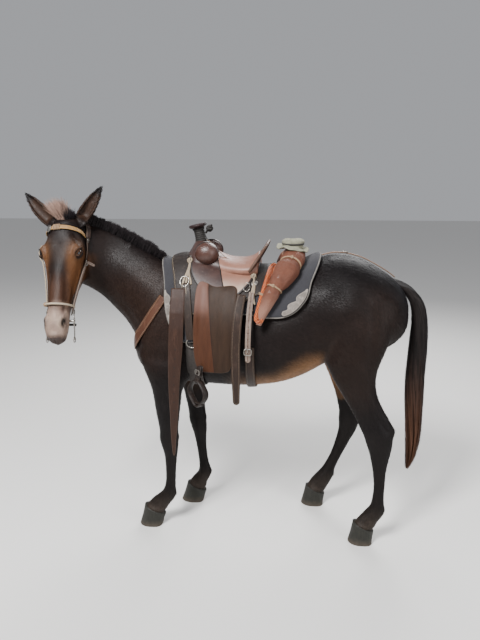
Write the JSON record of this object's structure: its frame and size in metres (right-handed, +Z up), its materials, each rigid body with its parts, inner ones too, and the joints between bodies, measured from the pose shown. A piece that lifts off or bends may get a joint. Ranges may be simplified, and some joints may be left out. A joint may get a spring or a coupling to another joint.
{
  "type": "saddled mule model",
  "caption": "Still life-size model of a standing saddled mule looking round to its left, with long ears, roached mane, long tail, western saddle, breast collar and bridle.",
  "frame": {"origin": "middle of the model's plan box, on the floor that the hooves stand on", "axes": "+X from head to tail along the body, +Y to the mule's right, +Z up"},
  "size_m": [2.0507, 0.8159, 1.7997],
  "materials": {
    "canvas": "canvas",
    "cinch_cord": "corded",
    "coat": "short sleek hair",
    "eye": "wet",
    "face_coat": "short sleek hair",
    "felt": "felted wool",
    "hair": "coarse long hair",
    "hoof": "matt horn",
    "leather": "worn",
    "leather_dark": "worn",
    "leather_tan": "worn",
    "rawhide": "rawhide",
    "rope": "twisted rope",
    "steel": "worn"
  },
  "bodies": {
    "root": {"head": "face_coat", "neck": "coat", "torso": "coat", "leg_fore_left": "coat", "hoof_fore_left": "hoof", "leg_fore_right": "coat", "hoof_fore_right": "hoof", "leg_hind_left": "coat", "hoof_hind_left": "hoof", "leg_hind_right": "coat", "hoof_hind_right": "hoof", "ear_left": "coat", "ear_right": "coat", "eye_left": "eye", "eye_right": "eye", "tail": "hair", "saddle_pad": "felt", "saddle_skirt": "leather_dark", "saddle_seat": "leather", "bucking_roll_left": "leather", "bucking_roll_right": "leather", "saddle_cantle": "leather", "saddle_horn": "leather_dark", "fender_left": "leather", "fender_right": "leather", "stirrup_left": "leather_dark", "stirrup_right": "leather_dark", "latigo_strap": "leather", "flank_strap": "leather", "flank_billet": "leather_tan", "flank_strap_right": "leather", "latigo_strap_right": "leather", "front_cinch": "cinch_cord", "flank_cinch": "leather_dark", "breast_collar": "leather", "crupper": "leather_tan", "cantle_bag": "leather", "cloth_hat": "canvas", "rope_coil": "rope", "browband": "leather_tan", "headstall": "leather", "noseband": "rawhide", "bit": "steel"}
  },
  "joints": []
}
